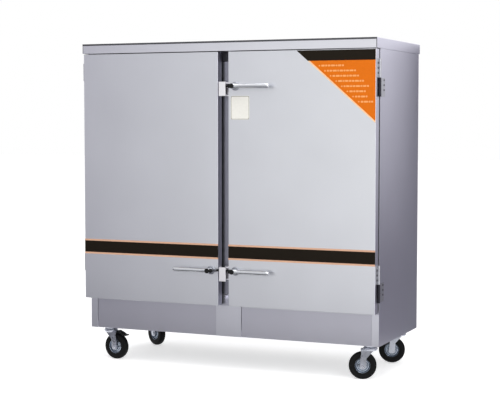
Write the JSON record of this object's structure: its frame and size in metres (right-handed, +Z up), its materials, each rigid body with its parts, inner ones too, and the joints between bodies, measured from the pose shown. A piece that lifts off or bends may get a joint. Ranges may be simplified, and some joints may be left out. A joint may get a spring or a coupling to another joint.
{
  "type": "rice steamer cabinet",
  "caption": "Tall two-door stainless steel steam cabinet for rice and food trays, with lever latches, tray racks, water tanks and swivel castors.",
  "frame": {"origin": "on the floor under the middle of the whole object", "axes": "+Z up, +X to the right as seen from the front, +Y to the back"},
  "size_m": [1.473, 0.78, 1.513],
  "materials": {
    "stainless": "satin",
    "inner_stainless": "satin",
    "black_trim": "matte",
    "black_rubber": "matte",
    "foam": "matte",
    "stripe_print": "gloss",
    "label_print": "gloss",
    "plate_print": "gloss",
    "lever_chrome": "polished",
    "hinge_steel": "satin",
    "zinc": "gloss",
    "wheel_centre": "satin",
    "tyre_rubber": "matte",
    "black_plastic": "satin",
    "brass_fitting": "satin",
    "steel_pipe": "satin",
    "heater_steel": "satin",
    "mild_steel": "satin",
    "box_paint": "satin",
    "lever_red": "gloss"
  },
  "bodies": {
    "cabinet": {"side_panel_right": "stainless", "side_panel_left": "stainless", "back_panel": "stainless", "lid_pan": "stainless", "lid_front_strip": "black_trim", "front_frame": "stainless", "centre_mullion": "stainless", "chamber_liner_right": "inner_stainless", "chamber_liner_left": "inner_stainless", "body_insulation": "foam", "plinth_frame": "stainless", "plinth_panels": "stainless", "base_chassis": "mild_steel", "water_tanks": "inner_stainless", "heating_elements": "heater_steel", "float_valve": "brass_fitting", "water_pipework": "steel_pipe", "drain_valve": "brass_fitting", "steam_vents": "inner_stainless", "terminal_box": "box_paint", "tray_racks": "inner_stainless", "trays": "inner_stainless", "hinge_frame_leaves": "hinge_steel", "keepers": "stainless", "castor_plates": "zinc"},
    "door_right": {"door_skin_right": "stainless", "door_inner_right": "inner_stainless", "door_core_right": "foam", "door_gasket_right": "black_rubber", "door_stripe_right": "stripe_print", "hinge_door_leaves_right": "hinge_steel", "corner_label": "label_print", "blank_plate": "plate_print", "latch_bases_right": "lever_chrome"},
    "door_left": {"door_skin_left": "stainless", "door_inner_left": "inner_stainless", "door_core_left": "foam", "door_gasket_left": "black_rubber", "door_stripe_left": "stripe_print", "hinge_door_leaves_left": "hinge_steel", "latch_base_left": "lever_chrome"},
    "lever_right_upper": {"latch_lever_right_upper": "lever_chrome"},
    "lever_right_lower": {"latch_lever_right_lower": "lever_chrome"},
    "lever_left_lower": {"latch_lever_left_lower": "lever_chrome"},
    "float": {"float_arm": "inner_stainless"},
    "drain_handle": {"drain_lever": "lever_red"},
    "castor_front_left": {"castor_fork_front_left": "zinc"},
    "wheel_front_left": {"wheel_rim_front_left": "wheel_centre", "tyre_front_left": "tyre_rubber"},
    "pedal_front_left": {"brake_pedal_front_left": "black_plastic"},
    "castor_rear_left": {"castor_fork_rear_left": "zinc"},
    "wheel_rear_left": {"wheel_rim_rear_left": "wheel_centre", "tyre_rear_left": "tyre_rubber"},
    "pedal_rear_left": {"brake_pedal_rear_left": "black_plastic"},
    "castor_front_right": {"castor_fork_front_right": "zinc"},
    "wheel_front_right": {"wheel_rim_front_right": "wheel_centre", "tyre_front_right": "tyre_rubber"},
    "castor_rear_right": {"castor_fork_rear_right": "zinc"},
    "wheel_rear_right": {"wheel_rim_rear_right": "wheel_centre", "tyre_rear_right": "tyre_rubber"}
  },
  "joints": [
    {"name": "door_right_hinge", "type": "hinge", "parent": "cabinet", "child": "door_right", "pos_m": [0.731, -0.305, 0.89], "axis": [0, 0, 1], "range_deg": [0, 180]},
    {"name": "door_left_hinge", "type": "hinge", "parent": "cabinet", "child": "door_left", "pos_m": [-0.731, -0.305, 0.89], "axis": [0, 0, -1], "range_deg": [0, 180]},
    {"name": "lever_right_upper_turn", "type": "hinge", "parent": "door_right", "child": "lever_right_upper", "pos_m": [0.0615, -0.375, 1.309], "axis": [0, -1, 0], "range_deg": [0, 90]},
    {"name": "lever_right_lower_turn", "type": "hinge", "parent": "door_right", "child": "lever_right_lower", "pos_m": [0.0615, -0.375, 0.472], "axis": [0, -1, 0], "range_deg": [0, 90]},
    {"name": "lever_left_lower_turn", "type": "hinge", "parent": "door_left", "child": "lever_left_lower", "pos_m": [-0.0615, -0.375, 0.472], "axis": [0, 1, 0], "range_deg": [0, 90]},
    {"name": "float_swing", "type": "hinge", "parent": "cabinet", "child": "float", "pos_m": [-0.589, 0.137, 0.3132], "axis": [-1, 0, 0], "range_deg": [0, 28]},
    {"name": "drain_turn", "type": "hinge", "parent": "cabinet", "child": "drain_handle", "pos_m": [0, 0.345, 0.2722], "axis": [0, 0, 1], "range_deg": [0, 90]},
    {"name": "swivel_front_left", "type": "hinge", "parent": "cabinet", "child": "castor_front_left", "pos_m": [-0.661, -0.206, 0.1375], "axis": [0, 0, 1], "continuous": true},
    {"name": "roll_front_left", "type": "hinge", "parent": "castor_front_left", "child": "wheel_front_left", "pos_m": [-0.62719, -0.20955, 0.0625], "axis": [0.1045, 0.9945, 0], "continuous": true},
    {"name": "brake_front_left", "type": "hinge", "parent": "castor_front_left", "child": "pedal_front_left", "pos_m": [-0.61426, -0.21091, 0.1335], "axis": [0.1045, 0.9945, 0], "range_deg": [0, 9]},
    {"name": "swivel_rear_left", "type": "hinge", "parent": "cabinet", "child": "castor_rear_left", "pos_m": [-0.661, 0.232, 0.1375], "axis": [0, 0, 1], "continuous": true},
    {"name": "roll_rear_left", "type": "hinge", "parent": "castor_rear_left", "child": "wheel_rear_left", "pos_m": [-0.63098, 0.21604, 0.0625], "axis": [0.4695, 0.8829, 0], "continuous": true},
    {"name": "brake_rear_left", "type": "hinge", "parent": "castor_rear_left", "child": "pedal_rear_left", "pos_m": [-0.6195, 0.20994, 0.1335], "axis": [0.4695, 0.8829, 0], "range_deg": [0, 9]},
    {"name": "swivel_front_right", "type": "hinge", "parent": "cabinet", "child": "castor_front_right", "pos_m": [0.661, -0.206, 0.1375], "axis": [0, 0, 1], "continuous": true},
    {"name": "roll_front_right", "type": "hinge", "parent": "castor_front_right", "child": "wheel_front_right", "pos_m": [0.62866, -0.21651, 0.0625], "axis": [0.309, -0.9511, 0], "continuous": true},
    {"name": "swivel_rear_right", "type": "hinge", "parent": "cabinet", "child": "castor_rear_right", "pos_m": [0.661, 0.232, 0.1375], "axis": [0, 0, 1], "continuous": true},
    {"name": "roll_rear_right", "type": "hinge", "parent": "castor_rear_right", "child": "wheel_rear_right", "pos_m": [0.62801, 0.22378, 0.0625], "axis": [0.2419, -0.9703, 0], "continuous": true}
  ]
}
